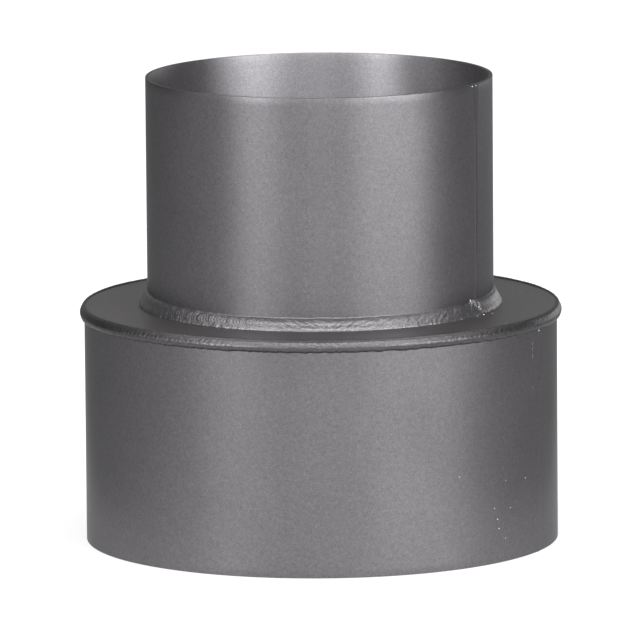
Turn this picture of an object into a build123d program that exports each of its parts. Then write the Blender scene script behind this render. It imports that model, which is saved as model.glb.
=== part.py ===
from build123d import *
import os
from math import sqrt

# Flue reducer welded from steel sheet, in millimetres, upright, with +Z up.
# The origin is on the common axis, in the plane of the lower rim that it stands on.
# A large rolled tube takes the pipe below, a flat ring closes the step, and a small rolled
# tube stands in the ring's hole and enters the pipe above.

# Lower tube, which a 200 pipe slides into
SOCKET_BORE = 201.0
SOCKET_WALL = 1.5
SOCKET_HEIGHT = 100.0

# Upper tube, which slides into a 150 pipe
SPIGOT_DIAMETER = 149.4
SPIGOT_WALL = 1.5
SPIGOT_LENGTH = 100.0
SPIGOT_SET_IN = 1.0            # its lower end lies this far down in the ring's hole

# Flat ring between the tubes
RING_THICKNESS = 2.0
RING_LAP = 1.0                 # how far it lies over the lower tube's wall
RING_HOLE_CLEARANCE = 0.1      # all round, between its hole and the upper tube

# The cut edges at both open ends are filed off by this much
RIM_CHAMFER = 0.3

# Butt seam of each rolled tube
SPIGOT_SEAM_ANGLE = -26.5      # in the XY plane, counted from +X
SOCKET_SEAM_ANGLE = -24.8
SEAM_GAP = 1.6
SEAM_CAP_WIDTH = 3.6           # outer face of the weld, dressed almost flush
SEAM_CAP_HEIGHT = 0.15
SEAM_ROOT_WIDTH = 2.8          # inner face of the weld
SEAM_ROOT_HEIGHT = 0.2

# Fillet weld round the foot of the upper tube
FILLET_UP = 5.8                # up the tube's wall, from the ring's top face
FILLET_OUT = 3.6               # out along the ring, from the tube's wall
FILLET_CROWN = 0.45            # how far its face stands out from the straight line

# Corner weld round the edge of the ring
CORNER_DOWN = 5.4              # down the lower tube's wall, from the ring's top face
CORNER_IN = 0.35               # over the ring, from its edge
CORNER_KNEE_OUT = 1.85         # where its straight flank turns into the round nose
CORNER_KNEE_DOWN = 2.7         # depth of that line below the ring's top face

# Depth of sheet that a weld has melted
FUSION = 0.6

# Radii and levels that follow from the sizes above
SOCKET_INNER = SOCKET_BORE / 2
SOCKET_OUTER = SOCKET_INNER + SOCKET_WALL
SPIGOT_OUTER = SPIGOT_DIAMETER / 2
SPIGOT_INNER = SPIGOT_OUTER - SPIGOT_WALL
RING_INNER = SPIGOT_OUTER + RING_HOLE_CLEARANCE
RING_OUTER = SOCKET_INNER + RING_LAP
RING_BOTTOM = SOCKET_HEIGHT
RING_TOP = RING_BOTTOM + RING_THICKNESS
SPIGOT_BOTTOM = RING_TOP - SPIGOT_SET_IN
SPIGOT_TOP = SPIGOT_BOTTOM + SPIGOT_LENGTH


def round_about_axis(section):
    """Turn a section, drawn as radius and height, once about the common axis."""
    return revolve(Plane.XZ * section, Axis.Z)


def sheet_section(inner, thickness, bottom, top, open_end):
    """Section of a tube's wall with the two corners of its open end filed off."""
    wall = Pos(inner, bottom) * Rectangle(thickness, top - bottom, align=(Align.MIN, Align.MIN))
    corners = wall.vertices().sort_by(Axis.Y)
    open_corners = corners[:2] if open_end == "bottom" else corners[2:]
    return chamfer(open_corners, RIM_CHAMFER)


def seam_slot(outer, wall, bottom, top, angle):
    """Space between the two edges of the rolled sheet."""
    middle = outer - wall / 2
    slot = Box(2 * wall, SEAM_GAP, top - bottom, align=(Align.CENTER, Align.CENTER, Align.MIN))
    return Rot(0, 0, angle) * Pos(middle, 0, bottom) * slot


def on_circle(radius, sideways):
    """Point of a circle about the axis that lies this far to the side of the seam."""
    return (sqrt(radius ** 2 - sideways ** 2), sideways)


def arc_on_circle(radius, start, end):
    """Arc of a circle about the axis, between two distances to the side of the seam."""
    middle = (start + end) / 2
    return ThreePointArc(on_circle(radius, start), on_circle(radius, middle), on_circle(radius, end))


def seam_section(outer, wall, cap_height):
    """Plan of a butt weld: a fill between the sheet's edges, a low cap and a low root."""
    inner = outer - wall
    gap = SEAM_GAP / 2
    root = SEAM_ROOT_WIDTH / 2
    root_face = ThreePointArc(
        on_circle(inner, root), (inner - SEAM_ROOT_HEIGHT, 0), on_circle(inner, -root)
    )
    sides = [
        Line(on_circle(outer, gap), on_circle(inner, gap)),
        arc_on_circle(inner, gap, root),
        root_face,
        arc_on_circle(inner, -root, -gap),
        Line(on_circle(inner, -gap), on_circle(outer, -gap)),
    ]
    if cap_height > 0:
        cap = SEAM_CAP_WIDTH / 2
        cap_face = ThreePointArc(on_circle(outer, -cap), (outer + cap_height, 0), on_circle(outer, cap))
        sides += [arc_on_circle(outer, -gap, -cap), cap_face, arc_on_circle(outer, cap, gap)]
    else:
        sides += [arc_on_circle(outer, -gap, gap)]
    return make_face(sides)


def seam_weld(outer, wall, bottom, top, angle, cap_height):
    """One stretch of a butt weld along a tube."""
    bead = extrude(seam_section(outer, wall, cap_height), top - bottom)
    return Rot(0, 0, angle) * Pos(0, 0, bottom) * bead


def fillet_weld():
    """Bead round the foot of the upper tube, melted into its wall and into the ring."""
    upper_toe = (SPIGOT_OUTER, RING_TOP + FILLET_UP)
    outer_toe = (SPIGOT_OUTER + FILLET_OUT, RING_TOP)
    leg = sqrt(FILLET_UP ** 2 + FILLET_OUT ** 2)
    crown = (
        (upper_toe[0] + outer_toe[0]) / 2 + FILLET_CROWN * FILLET_UP / leg,
        (upper_toe[1] + outer_toe[1]) / 2 + FILLET_CROWN * FILLET_OUT / leg,
    )
    face = ThreePointArc(upper_toe, crown, outer_toe)
    melted = Polyline(outer_toe, (SPIGOT_OUTER - FUSION, RING_TOP - FUSION), upper_toe)
    return round_about_axis(make_face([face, melted]))


def corner_weld():
    """Bead that fills the half-open corner between the ring's edge and the lower tube.

    A straight flank leaves the lower tube, and one tangent arc carries it round onto the ring.
    """
    lower_toe = (SOCKET_OUTER, RING_TOP - CORNER_DOWN)
    knee = (SOCKET_OUTER + CORNER_KNEE_OUT, RING_TOP - CORNER_KNEE_DOWN)
    inner_toe = (RING_OUTER - CORNER_IN, RING_TOP)
    flank = Line(lower_toe, knee)
    nose = TangentArc(knee, inner_toe, tangent=flank % 1)
    melted = Polyline(inner_toe, (RING_OUTER - FUSION, RING_BOTTOM - FUSION), lower_toe)
    return round_about_axis(make_face([flank, nose, melted]))


def make_socket_tube(bead):
    """Lower tube, with its seam open and its top corner melted by the corner weld."""
    wall = sheet_section(SOCKET_INNER, SOCKET_WALL, 0, SOCKET_HEIGHT, "bottom")
    slot = seam_slot(SOCKET_OUTER, SOCKET_WALL, 0, SOCKET_HEIGHT, SOCKET_SEAM_ANGLE)
    return round_about_axis(wall) - slot - bead


def make_spigot_tube(bead):
    """Upper tube, standing in the ring's hole with its foot melted by the fillet weld."""
    wall = sheet_section(SPIGOT_INNER, SPIGOT_WALL, SPIGOT_BOTTOM, SPIGOT_TOP, "top")
    slot = seam_slot(SPIGOT_OUTER, SPIGOT_WALL, SPIGOT_BOTTOM, SPIGOT_TOP, SPIGOT_SEAM_ANGLE)
    return round_about_axis(wall) - slot - bead


def make_step_ring(inner_bead, outer_bead):
    """Flat ring that lies on the lower tube's end and carries the upper tube in its hole."""
    width = RING_OUTER - RING_INNER
    sheet = Rectangle(width, RING_THICKNESS, align=(Align.MIN, Align.MIN))
    return round_about_axis(Pos(RING_INNER, RING_BOTTOM) * sheet) - inner_bead - outer_bead


def make_socket_seam_weld(bead):
    """Seam weld of the lower tube, which ends under the corner weld."""
    weld = seam_weld(SOCKET_OUTER, SOCKET_WALL, 0, SOCKET_HEIGHT, SOCKET_SEAM_ANGLE, SEAM_CAP_HEIGHT)
    return weld - bead


def make_spigot_seam_weld(bead):
    """Seam weld of the upper tube, dressed flush where it passes through the ring's hole."""
    through_ring = seam_weld(
        SPIGOT_OUTER, SPIGOT_WALL, SPIGOT_BOTTOM, RING_TOP, SPIGOT_SEAM_ANGLE, 0
    )
    above_ring = seam_weld(
        SPIGOT_OUTER, SPIGOT_WALL, RING_TOP, SPIGOT_TOP, SPIGOT_SEAM_ANGLE, SEAM_CAP_HEIGHT
    )
    return through_ring + above_ring - bead


spigot_fillet_weld = fillet_weld()
rim_corner_weld = corner_weld()

pieces = {
    "socket_tube": make_socket_tube(rim_corner_weld),
    "step_ring": make_step_ring(spigot_fillet_weld, rim_corner_weld),
    "spigot_tube": make_spigot_tube(spigot_fillet_weld),
    "socket_seam_weld": make_socket_seam_weld(rim_corner_weld),
    "spigot_seam_weld": make_spigot_seam_weld(spigot_fillet_weld),
    "spigot_fillet_weld": spigot_fillet_weld,
    "rim_corner_weld": rim_corner_weld,
}

os.makedirs("parts", exist_ok=True)
for name, piece in pieces.items():
    export_step(piece, "parts/" + name + ".step")
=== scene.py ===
import math

import bpy
import numpy as np
from mathutils import Matrix, Vector


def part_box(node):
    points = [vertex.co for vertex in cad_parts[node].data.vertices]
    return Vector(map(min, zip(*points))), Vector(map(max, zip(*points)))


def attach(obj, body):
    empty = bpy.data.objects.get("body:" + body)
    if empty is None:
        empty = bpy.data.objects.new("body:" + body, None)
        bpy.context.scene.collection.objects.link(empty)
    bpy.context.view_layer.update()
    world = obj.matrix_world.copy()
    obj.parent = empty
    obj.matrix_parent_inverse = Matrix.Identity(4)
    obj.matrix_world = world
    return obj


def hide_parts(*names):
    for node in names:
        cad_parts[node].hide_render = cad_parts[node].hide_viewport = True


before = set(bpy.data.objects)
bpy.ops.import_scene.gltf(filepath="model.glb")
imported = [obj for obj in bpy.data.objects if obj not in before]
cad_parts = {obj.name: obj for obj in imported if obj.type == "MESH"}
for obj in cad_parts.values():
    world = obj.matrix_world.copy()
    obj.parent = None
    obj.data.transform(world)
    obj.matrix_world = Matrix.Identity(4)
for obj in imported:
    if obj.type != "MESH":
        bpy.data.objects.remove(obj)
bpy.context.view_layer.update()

# Units: lengths on the object are millimetres, and MM turns them into Blender's metres.
# The floor, the lamps and the camera are set in metres.
# Azimuths are degrees round the upright axis: 0 faces the camera, +90 is the camera's right.
MM = 0.001


# Sizes read from the frame
def distances(node):
    """Distances of a CAD node's corners from the upright axis, in millimetres."""
    points = np.array([v.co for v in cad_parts[node].data.vertices])
    return np.hypot(points[:, 0], points[:, 1]) / MM


def outer_of(node):
    return round(float(distances(node).max()), 2)


def inner_of(node):
    return round(float(distances(node).min()), 2)


def bottom_of(node):
    return round(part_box(node)[0].z / MM, 2)


def top_of(node):
    return round(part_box(node)[1].z / MM, 2)


def azimuth_of(node):
    """Azimuth of the middle of a CAD node that lies to one side of the axis."""
    low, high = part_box(node)
    middle = (low + high) / 2
    return round(math.degrees(math.atan2(middle.x, -middle.y)), 2)


SOCKET_R = outer_of("socket_tube")
SOCKET_TOP = top_of("socket_tube")
SPIGOT_R = outer_of("spigot_tube")
SPIGOT_BOTTOM = bottom_of("spigot_tube")
SPIGOT_TOP = top_of("spigot_tube")
SHEET = round(SPIGOT_R - inner_of("spigot_tube"), 2)
RING_BOTTOM = bottom_of("step_ring")
RING_TOP = top_of("step_ring")
RING_HOLE_R = inner_of("step_ring")
CORNER_REACH = outer_of("rim_corner_weld")
SPIGOT_SEAM = azimuth_of("spigot_seam_weld")
SOCKET_SEAM = azimuth_of("socket_seam_weld")

# Sizes that welds hide in the frame, as the solids have them
RING_LAP = 1.0                 # of the ring over the lower tube's wall
RING_EDGE_R = SOCKET_R - SHEET + RING_LAP
SEAM_GAP = 1.6                 # between the two edges of a rolled sheet
FUSION = 0.6                   # depth of sheet that a weld has melted


# Small mathematics
def smooth(x, low, high):
    """0 below low, 1 above high, and an S-shaped rise between them."""
    t = np.clip((x - low) / (high - low), 0, 1)
    return t * t * (3 - 2 * t)


def between(x, low, high, soft):
    """1 from low to high, with soft shoulders of that width outside."""
    return smooth(x, low - soft, low) * (1 - smooth(x, high, high + soft))


def hill(x, centre, width):
    """Bell curve, 1 at the centre."""
    return np.exp(-(((x - centre) / width) ** 2))


def lattice(u, v, cells, seed):
    """Smooth random values from -1 to 1 on a grid that closes on itself along u.

    u and v run from 0 to 1, and the number of cells along each sets how fine the values are.
    """
    cells_u, cells_v = cells
    dice = np.random.default_rng(seed)
    knots = dice.uniform(-1, 1, (cells_u, cells_v + 2))
    x = np.mod(u, 1.0) * cells_u
    y = np.clip(v, 0, 1) * cells_v
    left = np.floor(x).astype(int) % cells_u
    right = (left + 1) % cells_u
    low = np.minimum(np.floor(y).astype(int), cells_v)
    fx = x - np.floor(x)
    fy = y - low
    fx = fx * fx * (3 - 2 * fx)
    fy = fy * fy * (3 - 2 * fy)
    near = knots[left, low] * (1 - fx) + knots[right, low] * fx
    far = knots[left, low + 1] * (1 - fx) + knots[right, low + 1] * fx
    return near * (1 - fy) + far * fy


def wave(u, cells, seed):
    """Smooth random values from -1 to 1 round the circle."""
    return lattice(u, np.zeros_like(u), (cells, 1), seed)


def arc_from(azimuth, centre):
    """Signed angle from a centre azimuth, from -180 to 180 degrees."""
    return (azimuth - centre + 180) % 360 - 180


# Mesh code
def put_mesh(name, points, faces, flat_faces=()):
    """New object from points in millimetres, with smooth shading."""
    mesh = bpy.data.meshes.new(name)
    mesh.from_pydata((np.asarray(points) * MM).tolist(), [], faces)
    mesh.validate()
    shade = np.ones(len(mesh.polygons), bool)
    shade[list(flat_faces)] = False
    mesh.polygons.foreach_set("use_smooth", shade)
    mesh.update()
    made = bpy.data.objects.new(name, mesh)
    bpy.context.scene.collection.objects.link(made)
    return made


def round_points(azimuth, radius, height):
    """Points from azimuths in degrees, radii and heights."""
    a = np.radians(azimuth)
    return np.stack([radius * np.sin(a), -radius * np.cos(a), height], axis=-1)


def grid_faces(rows, columns, rows_close, columns_close):
    """Four-sided faces of a grid of points, numbered row by row."""
    row_count = rows if rows_close else rows - 1
    column_count = columns if columns_close else columns - 1
    i, j = np.meshgrid(np.arange(row_count), np.arange(column_count), indexing="ij")
    i2 = (i + 1) % rows
    j2 = (j + 1) % columns
    corners = (i * columns + j, i2 * columns + j, i2 * columns + j2, i * columns + j2)
    return np.stack(corners, axis=-1).reshape(-1, 4).tolist()


def end_faces(rows, columns):
    """The two faces that close the first and last row of a grid whose columns close."""
    first = list(range(columns))
    last = [(rows - 1) * columns + k for k in range(columns)]
    return [first, last[::-1]]


def swept_round(name, azimuth, radius, height, closes=True):
    """Closed section carried round the axis. radius and height have one row per azimuth.

    The section runs anticlockwise, seen with the axis on the left. An open sweep gets an end
    face at each side.
    """
    points = round_points(azimuth[:, None], radius, height)
    rows, columns = radius.shape
    faces = [face[::-1] for face in grid_faces(rows, columns, closes, True)]
    flat = ()
    if not closes:
        faces += end_faces(rows, columns)
        flat = (len(faces) - 2, len(faces) - 1)
    return put_mesh(name, points.reshape(-1, 3), faces, flat)


def same_for_each(section, places):
    """The same row of section values for each place along a sweep."""
    return np.repeat(section[None, :], len(places), axis=0)


def rounded_corner(radius_centre, z_centre, size, start):
    """Points of a sheet edge's rounding: a quarter circle, from the start angle on."""
    steps = 5
    t = np.radians(start + np.linspace(0, 90, steps))
    return radius_centre + size * np.cos(t), z_centre + size * np.sin(t)


def sheet_loop(inner, outer, low, high, rounding, levels):
    """Closed section of a sheet with rounded edges, and that many levels on both faces."""
    inner_centre = inner + rounding
    outer_centre = outer - rounding
    low_centre = low + rounding
    high_centre = high - rounding
    parts = [
        (np.full(levels, outer), np.linspace(low_centre, high_centre, levels)),
        rounded_corner(outer_centre, high_centre, rounding, 0),
        rounded_corner(inner_centre, high_centre, rounding, 90),
        (np.full(levels, inner), np.linspace(high_centre, low_centre, levels)),
        rounded_corner(inner_centre, low_centre, rounding, 180),
        rounded_corner(outer_centre, low_centre, rounding, 270),
    ]
    r = np.concatenate([part[0] for part in parts])
    z = np.concatenate([part[1] for part in parts])
    step = np.abs(r - np.roll(r, 1)) + np.abs(z - np.roll(z, 1))
    distinct = step > 1e-6
    return r[distinct], z[distinct]


def painted(made, material):
    """One finish all over a new piece."""
    made.data.materials.append(material)
    return made


def placed(obj, node):
    """The new piece takes a CAD node's place."""
    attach(obj, "root")
    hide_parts(node)


# Materials
FLAKE_CELLS = 1900.0           # noise cells per metre, for the paint's metal flakes
PEEL_CELLS = 620.0             # for its orange peel
CLOUD_CELLS = 22.0             # for its slow clouds
PEEL_SHARE = 0.35              # the orange peel's swing in colour, as a share of the flakes'
CLOUD_SWING = 0.05             # how much the clouds lighten and darken it
ROUGHNESS_SWING = 0.015        # how much they raise and lower its roughness
PEEL_DEPTH = 0.02
PEEL_STRENGTH = 0.3            # share of that relief that the shading shows


def nodes_of(material):
    material.use_nodes = True
    tree = material.node_tree
    return tree, tree.nodes["Principled BSDF"]


def noise(tree, place, scale, detail):
    """Noise texture on the object's own coordinates, whose scale is in cells per metre."""
    made = tree.nodes.new("ShaderNodeTexNoise")
    made.inputs["Scale"].default_value = scale
    made.inputs["Detail"].default_value = detail
    tree.links.new(place.outputs["Object"], made.inputs["Vector"])
    return made.outputs["Fac"]


def spread(tree, value, from_low, from_high, to_low, to_high):
    """Value carried from one range to another and held at its ends."""
    made = tree.nodes.new("ShaderNodeMapRange")
    made.inputs["From Min"].default_value = from_low
    made.inputs["From Max"].default_value = from_high
    made.inputs["To Min"].default_value = to_low
    made.inputs["To Max"].default_value = to_high
    tree.links.new(value, made.inputs["Value"])
    return made.outputs["Result"]


def swing(tree, value, middle, reach):
    """Noise, which mostly lies from 0.3 to 0.7, turned into a swing about a middle value."""
    return spread(tree, value, 0.3, 0.7, middle - reach, middle + reach)


def math_node(tree, operation):
    made = tree.nodes.new("ShaderNodeMath")
    made.operation = operation
    return made


def times(tree, one, other):
    made = math_node(tree, "MULTIPLY")
    tree.links.new(one, made.inputs[0])
    tree.links.new(other, made.inputs[1])
    return made.outputs["Value"]


def shaded(tree, colour, factor):
    """Colour multiplied by a varying grey factor."""
    made = tree.nodes.new("ShaderNodeVectorMath")
    made.operation = "SCALE"
    made.inputs[0].default_value = colour
    tree.links.new(factor, made.inputs["Scale"])
    return made.outputs["Vector"]


def metal_paint(name, colour, roughness, grain=0.12, edge=0.56):
    """Satin metallic paint: flake grain under a millimetre, slow clouds and a fine orange peel.

    grain is how much the flakes lighten and darken it, and edge is the share of the grazing
    reflection that it keeps.
    """
    material = bpy.data.materials.new(name)
    tree, shader = nodes_of(material)
    shader.inputs["Metallic"].default_value = 1.0
    shader.inputs["Specular Tint"].default_value = (edge, edge, edge, 1)
    place = tree.nodes.new("ShaderNodeTexCoord")
    flakes = noise(tree, place, FLAKE_CELLS, 1.0)
    peel = noise(tree, place, PEEL_CELLS, 1.0)
    clouds = noise(tree, place, CLOUD_CELLS, 3.0)
    flake_factor = swing(tree, flakes, 1, grain)
    peel_factor = swing(tree, peel, 1, grain * PEEL_SHARE)
    cloud_factor = swing(tree, clouds, 1, CLOUD_SWING)
    factor = times(tree, times(tree, flake_factor, peel_factor), cloud_factor)
    tree.links.new(shaded(tree, colour, factor), shader.inputs["Base Color"])
    rough = swing(tree, clouds, roughness, ROUGHNESS_SWING)
    tree.links.new(rough, shader.inputs["Roughness"])
    relief = tree.nodes.new("ShaderNodeBump")
    relief.inputs["Strength"].default_value = PEEL_STRENGTH
    relief.inputs["Distance"].default_value = PEEL_DEPTH * MM
    tree.links.new(peel, relief.inputs["Height"])
    tree.links.new(relief.outputs["Normal"], shader.inputs["Normal"])
    return material


def brushed_round(material, amount):
    """Highlights spread up and down, as fine marks that run round the axis spread them."""
    tree, shader = nodes_of(material)
    place = tree.nodes.new("ShaderNodeTexCoord")
    along = tree.nodes.new("ShaderNodeVectorMath")
    along.operation = "CROSS_PRODUCT"
    along.inputs[1].default_value = (0, 0, 1)
    tree.links.new(place.outputs["Object"], along.inputs[0])
    tree.links.new(along.outputs["Vector"], shader.inputs["Tangent"])
    shader.inputs["Anisotropic"].default_value = amount
    shader.inputs["Anisotropic Rotation"].default_value = 0.25


PAINT = metal_paint("grey_paint", (0.160, 0.154, 0.162), 0.38, grain=0.17)
# The inside paint is a lighter copy of the grey paint: painted light, for the light that gathers inside
# the tubes.
LIT_INSIDE_PAINT = metal_paint("lit_inside_grey_paint", (0.325, 0.316, 0.331), 0.50, grain=0.16, edge=0.70)
brushed_round(LIT_INSIDE_PAINT, 0.75)
RING_PAINT = metal_paint("ring_paint", (0.160, 0.153, 0.155), 0.46, grain=0.20, edge=0.85)
SEAM_PAINT = metal_paint("seam_paint", (0.143, 0.138, 0.146), 0.38, grain=0.17)
FILLET_PAINT = metal_paint("weld_paint", (0.173, 0.167, 0.174), 0.43, grain=0.2, edge=0.92)
# The corner bead's paint is a darker copy of the weld paint: painted shade, for the dimmer light low on
# the bead.
SHADED_CORNER_PAINT = metal_paint("corner_bead_painted_shade", (0.112, 0.108, 0.113), 0.41, grain=0.2, edge=0.76)
BRIGHT_FLECK_PAINT = metal_paint("bright_fleck_paint", (0.70, 0.69, 0.70), 0.38)
# Near-black paint for the pits: painted shade, where a pit's hollow would be.
PIT_SHADE_PAINT = metal_paint("pit_painted_shade", (0.040, 0.039, 0.040), 0.60)


# Tubes
EDGE_ROUNDING = 0.22           # of the sheet's edges at the rims
INSIDE_SKIN = 0.25             # depth of the lighter inside paint, which is painted light, just past the rounded edge
WALL_LEVELS = 30
FINE_ARC = 7                   # degrees to each side of a seam, where the columns are close
FINE_STEP = 0.12               # degrees from column to column there
FAR_COLUMNS = 941              # in the rest of the turn
FLAT_END = 4.5                 # of the sheet's edge, which the rolls never bent
SPRING_BACK = 1.25             # times as far as a straight end would stand off
HELD_WITHIN = 4                # of the ring's top, the welds hold the sheet round
FREE_BEYOND = 16

# Height and azimuth of the seam's kink, which wanders on the way up
SOCKET_KINK = [(0, 65.1), (66, 65.3), (71.6, 66.2), (77.2, 67.9), (80, 68.6), (100, 69.2)]
SPIGOT_KINK = [(101, 63.4), (121, 63.4), (150, 64.3), (185, 64.3), (191, 65.3), (201, 65.3)]


def paint_and_lit_inside(made, outside, outer):
    """One finish on a tube or its seam weld, and lighter paint on its inner wall's faces: painted light
    inside the tube.
    """
    made.data.materials.append(outside)
    made.data.materials.append(LIT_INSIDE_PAINT)
    inner_wall = outer - SHEET + INSIDE_SKIN
    for face in made.data.polygons:
        if math.hypot(face.center.x, face.center.y) / MM < inner_wall:
            face.material_index = 1
    return made


def sprung(azimuth, z, outer, kink):
    """How far the flat sheet ends stand off the circle."""
    heights, azimuths = zip(*kink)
    side = np.radians(arc_from(azimuth, np.interp(z, heights, azimuths))) * outer
    free = smooth(np.abs(z - RING_TOP), HELD_WITHIN, FREE_BEYOND)
    return SPRING_BACK * free * np.clip(FLAT_END - np.abs(side), 0, None) ** 2 / (2 * outer)


def rolled_tube(name, outer, low, high, seam, kink):
    """Tube rolled from sheet, open along its seam, where the seam weld fills it."""
    half_gap = math.degrees(SEAM_GAP / 2 / outer)
    beside = seam + np.arange(half_gap, FINE_ARC, FINE_STEP)
    far = np.linspace(seam + FINE_ARC, seam + 360 - FINE_ARC, FAR_COLUMNS)
    azimuth = np.concatenate([beside, far, 2 * seam + 360 - beside[::-1]])
    r, z = sheet_loop(outer - SHEET, outer, low, high, EDGE_ROUNDING, WALL_LEVELS)
    height = same_for_each(z, azimuth)
    radius = r[None, :] + sprung(azimuth[:, None], height, outer, kink)
    made = swept_round(name, azimuth, radius, height, closes=False)
    return paint_and_lit_inside(made, PAINT, outer)


def socket_tube():
    return rolled_tube("socket_tube_sheet", SOCKET_R, 0.0, SOCKET_TOP, SOCKET_SEAM, SOCKET_KINK)


def spigot_tube():
    return rolled_tube("spigot_tube_sheet", SPIGOT_R, SPIGOT_BOTTOM, SPIGOT_TOP, SPIGOT_SEAM, SPIGOT_KINK)


placed(socket_tube(), "socket_tube")
placed(spigot_tube(), "spigot_tube")


# Seam welds
SEAM_LEVELS = 261
SEAM_COLUMNS = 21
SEAM_SHORT = 0.05              # of the sheet's ends, at both ends of the weld
SEAM_WANDER = 0.12             # of its line, to each side
SEAM_EDGE_DIP = 0.05           # of its outer edges, below the sheet's face
SEAM_FLANK = 0.3               # below either face, where its hidden sides turn
SEAM_ROOT_HALF = 1.4           # half the width of its root
SEAM_ROOT_PROUD = 0.2


def seam_back(outer):
    """Hidden sides and root of a seam weld: how far to the side, and radius."""
    gap = SEAM_GAP / 2
    inner = outer - SHEET
    root = np.linspace(SEAM_ROOT_HALF, -SEAM_ROOT_HALF, 7)
    root_r = inner - SEAM_ROOT_PROUD * np.cos(np.pi / 2 * root / SEAM_ROOT_HALF)
    flank = [outer - SEAM_FLANK, inner + SEAM_FLANK]
    side = np.concatenate([[gap, gap], root, [-gap, -gap]])
    radius = np.concatenate([flank, root_r, flank[::-1]])
    return side, radius


def seam_weld(name, outer, low, high, seam, kink, half_width, proud):
    """Weld dressed flush with the sheet, which fills the gap between its edges.

    half_width and proud are functions of the height: how far the weld spreads to each side
    and how far it stands out.
    """
    z = np.linspace(low + SEAM_SHORT, high - SEAM_SHORT, SEAM_LEVELS)[:, None]
    across = np.linspace(-1, 1, SEAM_COLUMNS)[None, :]
    wander = SEAM_WANDER * wave((z - low) / (high - low), cells=40, seed=5)
    face_azimuth = seam + np.degrees((across * half_width(z) + wander) / outer)
    dip = SEAM_EDGE_DIP * smooth(np.abs(across), 0.75, 1)
    crown = proud(z) * (1 - across**2) - dip
    face_r = outer + sprung(face_azimuth, z, outer, kink) + crown
    back_side, back_r = seam_back(outer)
    back_azimuth = seam + np.degrees(back_side / outer)
    azimuth = np.concatenate([face_azimuth, same_for_each(back_azimuth, z)], axis=1)
    r = np.concatenate([face_r, same_for_each(back_r, z)], axis=1)
    points = round_points(azimuth, r, np.broadcast_to(z, r.shape))
    rows, columns = r.shape
    faces = grid_faces(rows, columns, False, True) + end_faces(rows, columns)
    return put_mesh(name, points.reshape(-1, 3), faces, (len(faces) - 2, len(faces) - 1))


def spigot_seam_width(z):
    """Narrow, and spread wide by the last pass near the rim."""
    return 0.95 + 1.9 * smooth(z, 178, 196)


def spigot_seam_proud(z):
    """Stands out near the rim and is a shallow groove half way up."""
    return 0.03 + 0.04 * smooth(z, 180, 195) - 0.15 * between(z, 148, 176, 12)


def socket_seam_width(z):
    return np.full_like(z, 1.3)


def socket_seam_proud(z):
    return np.full_like(z, 0.02)


def socket_seam():
    made = seam_weld("socket_seam_bead", SOCKET_R, 0.0, SOCKET_TOP, SOCKET_SEAM, SOCKET_KINK,
                     socket_seam_width, socket_seam_proud)
    return paint_and_lit_inside(made, PAINT, SOCKET_R)


def spigot_seam():
    made = seam_weld("spigot_seam_bead", SPIGOT_R, SPIGOT_BOTTOM, SPIGOT_TOP, SPIGOT_SEAM, SPIGOT_KINK,
                     spigot_seam_width, spigot_seam_proud)
    return paint_and_lit_inside(made, SEAM_PAINT, SPIGOT_R)


placed(socket_seam(), "socket_seam_weld")
placed(spigot_seam(), "spigot_seam_weld")


# Step ring
RING_ROUNDING = 0.3
RING_STEP = 0.5                # degrees from column to column


def step_ring():
    """Flat ring with rounded edges and a few circles of corners on its top face."""
    azimuth = np.arange(0, 360, RING_STEP)
    r, z = sheet_loop(RING_HOLE_R, RING_EDGE_R, RING_BOTTOM, RING_TOP, RING_ROUNDING, 2)
    circles = np.linspace(RING_EDGE_R - RING_ROUNDING, RING_HOLE_R + RING_ROUNDING, 12)[1:-1]
    at = int(np.argmax(z > RING_TOP - 1e-6)) + 1
    r = np.insert(r, at, circles)
    z = np.insert(z, at, np.full(len(circles), RING_TOP))
    made = swept_round("step_ring_plate", azimuth, same_for_each(r, azimuth), same_for_each(z, azimuth))
    return painted(made, RING_PAINT)


placed(step_ring(), "step_ring")


# Weld beads
BEAD_COLUMNS = 2160
CURVE_PULL = 1.05              # of the way to the next knot, how far a knot's direction reaches


def facing(lean):
    """Direction along a section, bottom to top, where the surface faces up by this many degrees."""
    lean = np.radians(np.asarray(lean, float).reshape(-1, 1))
    return -np.sin(lean), np.cos(lean)


def curve_through(knots, leans, samples):
    """Smooth section curve for every azimuth.

    knots are (radius, height) pairs, each a number or one value per azimuth, and leans say how far
    the surface faces up at each knot, in degrees: 0 faces outward and 90 faces straight up.
    """
    pieces_r = []
    pieces_z = []
    for k in range(len(knots) - 1):
        t = np.linspace(0, 1, samples[k] + 1)
        if k:
            t = t[1:]
        h0 = 2 * t**3 - 3 * t**2 + 1
        h1 = t**3 - 2 * t**2 + t
        h2 = -2 * t**3 + 3 * t**2
        h3 = t**3 - t**2
        start = [np.asarray(q, float).reshape(-1, 1) for q in knots[k]]
        end = [np.asarray(q, float).reshape(-1, 1) for q in knots[k + 1]]
        reach = CURVE_PULL * np.hypot(end[0] - start[0], end[1] - start[1])
        leave = facing(leans[k])
        arrive = facing(leans[k + 1])
        pieces_r.append(start[0] * h0 + reach * leave[0] * h1 + end[0] * h2 + reach * arrive[0] * h3)
        pieces_z.append(start[1] * h0 + reach * leave[1] * h1 + end[1] * h2 + reach * arrive[1] * h3)
    count = max(p.shape[0] for p in pieces_r + pieces_z)
    r = np.concatenate([np.broadcast_to(p, (count, p.shape[1])) for p in pieces_r], axis=1)
    z = np.concatenate([np.broadcast_to(p, (count, p.shape[1])) for p in pieces_z], axis=1)
    return r, z


def pushed_out(r, z, lift):
    """Section moved along its own normal, outward of the bead, by lift."""
    tangent_r = np.gradient(r, axis=1)
    tangent_z = np.gradient(z, axis=1)
    length = np.hypot(tangent_r, tangent_z)
    return r + lift * tangent_z / length, z - lift * tangent_r / length


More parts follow.
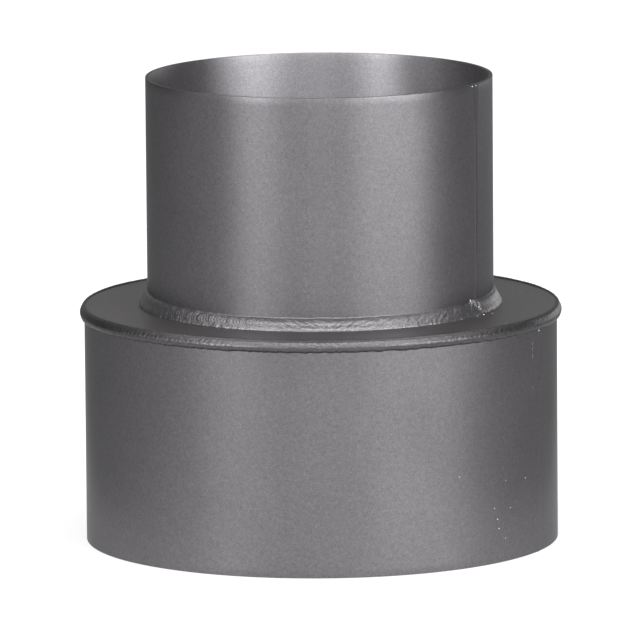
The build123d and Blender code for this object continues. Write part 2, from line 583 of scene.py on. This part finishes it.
def bead(name, section, relief, hidden, reach):
    """Closed bead all round the axis: the seen section, then the hidden corners inside the sheet.

    section takes azimuths and shares of the turn, and relief takes shares of the turn and of
    the section. The relief dies away at both edges, and the bead stays within reach.
    """
    azimuth = np.arange(BEAD_COLUMNS) * 360 / BEAD_COLUMNS - 180
    turn = (azimuth + 180) / 360
    r, z = section(azimuth, turn)
    around = np.broadcast_to(turn[:, None], r.shape)
    up = np.broadcast_to(np.linspace(0, 1, r.shape[1])[None, :], r.shape)
    melted_in = np.sin(np.pi * up) ** 0.5
    r, z = pushed_out(r, z, relief(around, up) * melted_in)
    hidden_r, hidden_z = np.array(hidden).T
    r = np.concatenate([np.minimum(r, reach), same_for_each(hidden_r, azimuth)], axis=1)
    z = np.concatenate([z, same_for_each(hidden_z, azimuth)], axis=1)
    return swept_round(name, azimuth, r, z)


# Corner bead. Its reaches are counted from the lower tube's face and its depths from the ring's top.
CORNER_TOE_DEPTH = 5.5
CORNER_WIDEST = (1.85, 3.4)    # reach and depth
CORNER_SHOULDER = (1.5, 2.0)
CORNER_CREST = (0.5, 0.75)
CORNER_INNER_REACH = -0.8
CORNER_TOE_SUNK = 0.1          # of its lower edge, in the tube's face
CORNER_RIPPLES = 238           # in the whole turn


def corner_section(azimuth, turn):
    """From the lower tube over the nose to the ring's top. At the sides and back it is fuller."""
    away = np.abs(azimuth)
    fuller = smooth(away, 50, 120) + 0.5 * hill(azimuth, 60, 5)
    toe_z = RING_TOP - CORNER_TOE_DEPTH - 0.9 * smooth(away, 60, 95)
    toe_z = toe_z + 0.08 * wave(turn, cells=90, seed=11) + 0.20 * wave(turn, cells=400, seed=12)
    widest_r = SOCKET_R + CORNER_WIDEST[0] + 0.08 * wave(turn, cells=40, seed=13)
    shoulder_z = RING_TOP - CORNER_SHOULDER[1] + 0.9 * fuller + 0.04 * wave(turn, cells=70, seed=14)
    crest_z = RING_TOP - CORNER_CREST[1] + 1.35 * fuller + 0.05 * wave(turn, cells=110, seed=16)
    inner_r = SOCKET_R + CORNER_INNER_REACH - 0.3 * hill(azimuth, 59, 4)
    inner_r = inner_r + 0.10 * wave(turn, cells=150, seed=15)
    knots = [
        (SOCKET_R - CORNER_TOE_SUNK, toe_z),
        (widest_r, RING_TOP - CORNER_WIDEST[1]),
        (SOCKET_R + CORNER_SHOULDER[0], shoulder_z),
        (SOCKET_R + CORNER_CREST[0], crest_z),
        (inner_r, RING_TOP),
    ]
    return curve_through(knots, (-72, -12, 31, 62, 86 + 20 * fuller), (14, 10, 8, 6))


def corner_relief(around, up):
    """Close shallow ripples that bow to one side, and a fine roughness."""
    bow = 0.006 * (1 - (2 * up - 1) ** 2)
    drift = 0.0016 * lattice(around, up, (120, 2), seed=21)
    phase = (around + bow + drift) * CORNER_RIPPLES
    ripple = 0.5 - np.abs(np.mod(phase, 1.0) ** 1.6 - 0.5)
    strength = 0.12 + 0.08 * lattice(around, up, (50, 1), seed=22)
    coarse = 0.04 * lattice(around, up, (540, 8), seed=23)
    fine = 0.055 * lattice(around, up, (1080, 18), seed=24)
    return strength * ripple + coarse + fine


def corner_bead():
    """Bead in the corner of the ring's edge and the lower tube."""
    hidden = [(RING_EDGE_R - FUSION, RING_TOP - 0.5), (RING_EDGE_R - FUSION, RING_BOTTOM - FUSION),
              (SOCKET_R - 0.9, RING_BOTTOM - 3.1)]
    made = bead("rim_corner_bead", corner_section, corner_relief, hidden, CORNER_REACH - 0.01)
    return painted(made, SHADED_CORNER_PAINT)


# Fillet bead. Its reaches are counted from the spigot's face and its heights from the ring's top.
FILLET_TOE_REACH = 3.6
FILLET_BELLY = (2.4, 2.8)      # reach and height
FILLET_HEIGHT = 5.2
FILLET_TOE_SUNK = 0.03         # of its outer edge, in the ring's top
FILLET_LIP = 0.35              # size of the small rounding below its upper edge
TIE_IN_AZIMUTH = 61.7          # of the tie-in ridge at the toe
TIE_IN_LEAN = 1.7              # degrees that its upper end lies to the left of its toe

# Azimuths at which the welder's larger crescents start, on the fillet's left front
CRESCENTS = (-71, -65, -59.5, -53.5, -47.8, -42.7, -38.3, -31.1, -24.3, -18.0)
CRESCENT_BOW = 2.6             # degrees that its line runs back towards the bead's edges
CRESCENT_SINK = 4.0            # degrees over which its lift falls to about a third
CRESCENT_RIPPLE = 1.15         # degrees from one of its fine ripples to the next


def fillet_section(azimuth, turn):
    """From the ring up to the spigot. It is widest in front and highest at the sides and back."""
    front = hill(azimuth, 0, 55)
    sides = smooth(np.abs(azimuth), 35, 92)
    top_z = RING_TOP + FILLET_HEIGHT + 1.2 * sides + 0.9 * hill(azimuth, 60.5, 2)
    top_z = top_z + 0.10 * wave(turn, cells=70, seed=31) + 0.08 * wave(turn, cells=210, seed=32)
    toe_r = SPIGOT_R + FILLET_TOE_REACH + 1.6 * front + 0.10 * wave(turn, cells=70, seed=33)
    toe_r = toe_r + 0.10 * wave(turn, cells=230, seed=34) + 0.08 * wave(turn, cells=540, seed=35)
    knots = [
        (toe_r, RING_TOP - FILLET_TOE_SUNK),
        (SPIGOT_R + FILLET_BELLY[0] + 0.5 * front, RING_TOP + FILLET_BELLY[1]),
        (SPIGOT_R + FILLET_LIP, top_z - FILLET_LIP),
        (SPIGOT_R - 0.05, top_z + 0.2),
    ]
    return curve_through(knots, (8 + 4 * front, 34 + 5 * front, 58, 12), (18, 18, 5))


def crescents(azimuth, up):
    """Overlapping scales: each rises at a line that bulges to the left, then sinks slowly."""
    line = CRESCENT_BOW * ((up - 0.55) / 0.5) ** 2
    lift = np.zeros_like(azimuth)
    for start in CRESCENTS:
        past = arc_from(azimuth, start) - line
        lift = lift + smooth(past, -0.6, 0.5) * np.exp(-np.clip(past, 0, None) / CRESCENT_SINK)
        ripple = np.sin(2 * np.pi * past / CRESCENT_RIPPLE)
        lift = lift + 0.22 * ripple * between(past, 0.6, 5.0, 0.6)
    return lift


def streaks(azimuth, around, up):
    """Fine lines across the bead. They lean the other way to the right of the middle."""
    right = smooth(azimuth, -4, 8)
    down_right = lattice(around + 0.022 * up, up, (360, 4), seed=43) * (1 - right)
    up_right = lattice(around - 0.018 * up, up, (340, 4), seed=46) * right
    return 0.075 * (down_right + up_right)


def tie_in(azimuth, around, up):
    """Ridge where the weld's end laps over its start, and the thicker bead beyond it."""
    line = TIE_IN_AZIMUTH - TIE_IN_LEAN * up
    height = 0.5 + 0.2 * lattice(around, up, (1080, 14), seed=48)
    ridge = height * hill(azimuth, line, 1.1) * between(up, 0.10, 0.97, 0.08)
    beyond = 0.25 * smooth(azimuth, line, line + 1.2) * (1 - smooth(azimuth, 68, 92))
    return ridge + beyond


def fillet_relief(around, up):
    """Scales at the left, streaks in front, a tie-in at the right and plain ripples behind."""
    azimuth = around * 360 - 180
    scaly = between(azimuth, -75, -20, 8)
    behind = between(azimuth, 66, 300, 4) + between(azimuth, -180, -85, 8)
    streaky = np.clip(1 - scaly - behind, 0, 1)
    scales = 0.15 * scaly * crescents(azimuth, up)
    lines = streaks(azimuth, around, up) * (streaky + 0.3 * scaly)
    waves = 0.035 * lattice(around - 0.03 * up, up, (420, 6), seed=47) * between(azimuth, 22, 58, 8)
    coarse = 0.035 * lattice(around, up, (700, 14), seed=44)
    fine = 0.04 * lattice(around, up, (1080, 26), seed=45)
    grit = (coarse + fine) * (1 - 0.6 * behind)
    bow = 0.005 * (1 - (1.6 * up - 1) ** 2)
    ripples = 0.035 * np.sin(2 * np.pi * (around - bow) * 230) * behind
    return scales + lines + waves + grit + ripples + tie_in(azimuth, around, up)


def fillet_bead():
    """Bead between the ring and the spigot."""
    hidden = [(SPIGOT_R - FUSION, RING_TOP + 4.2), (SPIGOT_R - FUSION, RING_TOP - 0.4),
              (SPIGOT_R + 2.3, RING_TOP - 0.4)]
    made = bead("spigot_fillet_bead", fillet_section, fillet_relief, hidden, SOCKET_R)
    return painted(made, FILLET_PAINT)


placed(corner_bead(), "rim_corner_weld")
placed(fillet_bead(), "spigot_fillet_weld")


# Flecks: spatter, grit, bright marks and pits, as low domes on the surface; dark pits are painted shade
DOME_COLUMNS = 12
DOME_ROWS = 3
DOME_SUNK = 0.02               # of its edge, below the surface
DOME_ROOT = 0.1                # of its closing point, below the surface

UP = Vector((0, 0, 1))


def bearing(azimuth):
    """Directions outward and to the right at an azimuth, seen from outside."""
    a = math.radians(azimuth)
    return Vector((math.sin(a), -math.cos(a), 0)), Vector((math.cos(a), math.sin(a), 0))


def dome(centre, right, up, out, width, tall, proud):
    """Corners and faces of a low closed dome, centred on a point of the surface."""
    points = []
    for k in range(DOME_ROWS):
        size = math.cos(math.pi / 2 * k / DOME_ROWS)
        level = proud * math.sin(math.pi / 2 * k / DOME_ROWS)
        for i in range(DOME_COLUMNS):
            t = 2 * math.pi * i / DOME_COLUMNS
            flat = right * (width * size * math.cos(t)) + up * (tall * size * math.sin(t))
            points.append(centre + flat + out * (level - DOME_SUNK))
    points.append(centre + out * (proud - DOME_SUNK))
    points.append(centre - out * DOME_ROOT)
    # Each face of the grid keeps its first corner and is turned to look outward
    faces = [face[:1] + face[:0:-1] for face in grid_faces(DOME_ROWS, DOME_COLUMNS, False, True)]
    top = DOME_ROWS * DOME_COLUMNS
    for i in range(DOME_COLUMNS):
        j = (i + 1) % DOME_COLUMNS
        faces.append((top - DOME_COLUMNS + i, top - DOME_COLUMNS + j, top))
        faces.append((j, i, top + 1))
    return points, faces


def flecks(name, on_walls, on_ring, material):
    """One piece of many domes.

    on_walls lists (radius, azimuth, height, half width, half height, proud), and on_ring lists
    (radius, azimuth, size, proud), for domes on the ring's top face.
    """
    places = []
    for radius, azimuth, z, width, tall, proud in on_walls:
        outward, right = bearing(azimuth)
        places.append((outward * radius + UP * z, right, UP, outward, width, tall, proud))
    for radius, azimuth, size, proud in on_ring:
        outward, right = bearing(azimuth)
        places.append((outward * radius + UP * RING_TOP, right, -outward, UP, size, size, proud))
    points = []
    faces = []
    for place in places:
        more, sides = dome(*place)
        faces += [tuple(k + len(points) for k in side) for side in sides]
        points += more
    made = painted(put_mesh(name, [tuple(p) for p in points], faces), material)
    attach(made, "root")


def bumps(radius, places, size, proud):
    """Round domes on a wall, from a list of (azimuth, height)."""
    return [(radius, azimuth, z, size, size, proud) for azimuth, z in places]


# Grit low on the lower tube's right, and the two nubs where the spigot's seam meets its rim
WALL_GRIT = bumps(SOCKET_R, [(34.9, 39.8), (50.1, 35.0), (58.4, 33.9), (65.4, 37.8), (51.9, 22.8),
                             (46.0, 23.9), (47.0, 19.0), (47.5, 14.8), (50.0, 10.1)], 0.28, 0.10)
SEAM_NUBS = bumps(SPIGOT_R, [(61.1, 200.4), (63.5, 200.4)], 0.40, 0.30)

# Bright dots down the tie-in ridge, and the bright stroke that ends it on the spigot
TIE_IN_BRIGHT_DOTS = [(75.7, 60.2, 107.4, 0.36, 0.65, 0.32), (76.5, 60.6, 106.4, 0.50, 0.65, 0.36),
                (77.2, 61.0, 105.4, 0.42, 0.60, 0.36), (77.8, 61.3, 104.4, 0.50, 0.60, 0.36),
                (78.2, 61.6, 103.3, 0.36, 0.50, 0.34)]
TIE_IN_STROKE = [(SPIGOT_R + 0.05, 58.9, 107.7, 0.30, 1.5, 0.22)]

# A dot under the corner bead, and short scratches below it
CORNER_DOT = bumps(SOCKET_R + 0.9, [(64.7, 96.2)], 0.45, 0.35)
SCRATCHES = [(SOCKET_R, 62.3, z, 0.14, tall, 0.04) for z, tall in
             [(91.0, 1.0), (88.7, 0.9), (85.6, 1.1), (72.0, 0.7)]]

# Spatter and pits on the ring, and one pit on each tube; their dark is painted shade for the hollows
RING_SPATTER = [(78.8, 62.3, 0.45, 0.30), (79.1, 57.8, 0.30, 0.20), (80.6, 65.6, 0.30, 0.20)]
RING_PIT_SHADES = [(93.8, -78.5, 0.45, 0.03), (86.0, -77.1, 0.25, 0.03), (98.4, 118.5, 0.5, 0.03),
             (93.4, 106.2, 0.5, 0.03), (82.7, 69.6, 0.3, 0.03)]
WALL_PIT_SHADES = bumps(SOCKET_R, [(33.6, 78.8)], 0.35, 0.03) + bumps(SPIGOT_R, [(-3.9, 117.7)], 0.3, 0.03)

flecks("paint_chips", WALL_GRIT + SEAM_NUBS + TIE_IN_BRIGHT_DOTS + TIE_IN_STROKE + CORNER_DOT + SCRATCHES,
       RING_SPATTER, BRIGHT_FLECK_PAINT)
flecks("pits_painted_shade", WALL_PIT_SHADES, RING_PIT_SHADES, PIT_SHADE_PAINT)


# Floor
FLOOR_HALF = 60.0
FLOOR_PALE = 0.34
LANE_HALF_WIDTH = 0.15         # at the object, of the white lane that the camera looks along
LANE_WIDENS = 0.034            # per metre behind the object, as the camera's view does
LANE_EDGE = 1.4                # times its half width, where the lane has faded out
BESIDE_LANE = 0.15             # of the lane's glow is left there
GLOW_FROM_Y, GLOW_TO_Y = -0.25, 0.35    # between them the glow rises to its level behind
GLOW_IN_FRONT = 0.52
GLOW_BEHIND = 0.80


def seen_rays(tree):
    """1 for what the camera sees, also in a mirror or through glass, and 0 for other light."""
    rays = tree.nodes.new("ShaderNodeLightPath")
    total = rays.outputs["Is Camera Ray"]
    for other in ("Is Glossy Ray", "Is Transmission Ray"):
        either = math_node(tree, "MAXIMUM")
        tree.links.new(total, either.inputs[0])
        tree.links.new(rays.outputs[other], either.inputs[1])
        total = either.outputs["Value"]
    return total


def lane_glow(tree):
    """Glow that whitens the lane past the object for rays that see the floor, and lights nothing."""
    place = tree.nodes.new("ShaderNodeTexCoord")
    parts = tree.nodes.new("ShaderNodeSeparateXYZ")
    tree.links.new(place.outputs["Object"], parts.inputs["Vector"])
    aside = math_node(tree, "ABSOLUTE")
    tree.links.new(parts.outputs["X"], aside.inputs[0])
    widening = math_node(tree, "MULTIPLY_ADD")
    tree.links.new(parts.outputs["Y"], widening.inputs[0])
    widening.inputs[1].default_value = -LANE_WIDENS
    tree.links.new(aside.outputs["Value"], widening.inputs[2])
    lane = spread(tree, widening.outputs["Value"],
                  LANE_HALF_WIDTH, LANE_HALF_WIDTH * LANE_EDGE, 1, BESIDE_LANE)
    along = spread(tree, parts.outputs["Y"], GLOW_FROM_Y, GLOW_TO_Y, GLOW_IN_FRONT, GLOW_BEHIND)
    return times(tree, times(tree, lane, along), seen_rays(tree))


def floor_material():
    """Matt and pale from above with the lane's glow, and clear from below."""
    material = bpy.data.materials.new("floor_white")
    tree, shader = nodes_of(material)
    shader.inputs["Base Color"].default_value = (FLOOR_PALE, FLOOR_PALE, FLOOR_PALE, 1)
    shader.inputs["Roughness"].default_value = 0.9
    shader.inputs["Specular IOR Level"].default_value = 0.0
    shader.inputs["Emission Color"].default_value = (1, 1, 1, 1)
    tree.links.new(lane_glow(tree), shader.inputs["Emission Strength"])
    clear = tree.nodes.new("ShaderNodeBsdfTransparent")
    side = tree.nodes.new("ShaderNodeNewGeometry")
    mix = tree.nodes.new("ShaderNodeMixShader")
    tree.links.new(side.outputs["Backfacing"], mix.inputs[0])
    tree.links.new(shader.outputs[0], mix.inputs[1])
    tree.links.new(clear.outputs[0], mix.inputs[2])
    tree.links.new(mix.outputs[0], tree.nodes["Material Output"].inputs["Surface"])
    return material


def floor():
    """Large pale floor that keeps the object's shadow."""
    half = FLOOR_HALF
    corners = [(-half, -half, 0), (half, -half, 0), (half, half, 0), (-half, half, 0)]
    mesh = bpy.data.meshes.new("floor")
    mesh.from_pydata(corners, [], [(0, 1, 2, 3)])
    mesh.materials.append(floor_material())
    made = bpy.data.objects.new("floor", mesh)
    bpy.context.scene.collection.objects.link(made)


# Lamps and world
AIM = Vector((0, 0, 0.1))      # the object's middle
WORLD_LEVEL = 0.06

# Azimuth, height, width, tallness, watts and distance from the axis of each softbox
LAMPS = {
    "front": (0, 1.0, 0.8, 0.6, 5, 2.0),
    "low_front": (0, 0.4, 0.7, 0.8, 4, 2.0),
    "upper_front": (0, 2.1, 1.4, 1.0, 21, 1.3),
    "high_side_left": (-90, 2.2, 1.6, 1.2, 11, 1.1),
    "high_side_right": (90, 2.2, 1.6, 1.2, 11, 1.1),
    "low_back_right": (140, 0.3, 1.2, 0.5, 4, 2.0),
    "left": (-45, 1.0, 0.8, 0.6, 15.5, 2.0),
    "right": (46.5, 1.0, 0.8, 0.6, 15.5, 2.0),
    "upper_left": (-45, 2.1, 1.4, 1.0, 10, 1.3),
    "upper_right": (45, 2.1, 1.4, 1.0, 15, 1.3),
    "low_left": (-45, 0.4, 0.7, 0.8, 8, 2.0),
    "low_front_left": (-30, 0.4, 0.7, 0.8, 4, 2.0),
    "low_front_right": (30, 0.4, 0.7, 0.8, 7.5, 2.0),
    "low_right": (45, 0.4, 0.7, 0.8, 5, 2.0),
    "low_side_right": (62, 0.4, 0.7, 0.8, 9, 2.0),
    "side_left": (-85, 0.7, 0.7, 0.8, 3, 2.0),
    "back": (180, 0.6, 3.0, 1.0, 3, 2.0),
    "overhead": (180, 2.0, 1.6, 1.6, 10, 0.9),
}


def softbox(name, azimuth, height, width, tall, watts, distance):
    """Rectangular lamp at that azimuth, turned to the object's middle."""
    lamp = bpy.data.lights.new(name, "AREA")
    lamp.shape = "RECTANGLE"
    lamp.size = width
    lamp.size_y = tall
    lamp.energy = watts
    made = bpy.data.objects.new(name, lamp)
    a = math.radians(azimuth)
    made.location = (distance * math.sin(a), -distance * math.cos(a), height)
    made.rotation_euler = (AIM - made.location).to_track_quat("-Z", "Y").to_euler()
    bpy.context.scene.collection.objects.link(made)


def studio_world():
    """Even white light from all round, at a low level."""
    world = bpy.data.worlds.new("studio")
    bpy.context.scene.world = world
    world.use_nodes = True
    background = world.node_tree.nodes["Background"]
    background.inputs["Color"].default_value = (1, 1, 1, 1)
    background.inputs["Strength"].default_value = WORLD_LEVEL


floor()
for name, setting in LAMPS.items():
    softbox(name, *setting)
studio_world()


# Camera
CAMERA_ELEVATION = math.radians(9.021)
CAMERA_ROLL = math.radians(0.449)
CAMERA_DISTANCE = 4.0837       # to the step's middle
LENS = 532.2                   # millimetres
SENSOR = 36.0                  # millimetres
PICTURE = 640                  # pixels across
STEP_X, STEP_Y = 320.63, 307.07    # pixel at which the middle of the step's underside shows


def camera_turn():
    """The camera's own axes, so that the step's middle falls on its pixel."""
    right = Vector((1, 0, 0))
    up = Vector((0, math.sin(CAMERA_ELEVATION), math.cos(CAMERA_ELEVATION)))
    turned_right = right * math.cos(CAMERA_ROLL) - up * math.sin(CAMERA_ROLL)
    turned_up = right * math.sin(CAMERA_ROLL) + up * math.cos(CAMERA_ROLL)
    focal = LENS / SENSOR * PICTURE
    aside = turned_right * (STEP_X - PICTURE / 2) / focal
    above = turned_up * (PICTURE / 2 - STEP_Y) / focal
    ahead = (-away_from_step() - aside - above).normalized()
    x_axis = (turned_right - ahead * turned_right.dot(ahead)).normalized()
    y_axis = x_axis.cross(ahead).normalized()
    return Matrix((x_axis, y_axis, -ahead)).transposed()


def away_from_step():
    """Direction from the step's middle to the camera."""
    return Vector((0, -math.cos(CAMERA_ELEVATION), math.sin(CAMERA_ELEVATION)))


def camera():
    """Camera at the photo's angle, with the object where the photo shows it."""
    lens = bpy.data.cameras.new("camera")
    lens.lens = LENS
    lens.sensor_width = SENSOR
    lens.clip_start = 0.05
    lens.clip_end = 300.0
    made = bpy.data.objects.new("camera", lens)
    place = Vector((0, 0, RING_BOTTOM * MM)) + away_from_step() * CAMERA_DISTANCE
    made.matrix_world = Matrix.Translation(place) @ camera_turn().to_4x4()
    bpy.context.scene.collection.objects.link(made)
    bpy.context.scene.camera = made


camera()
bpy.context.scene.view_settings.view_transform = "Standard"
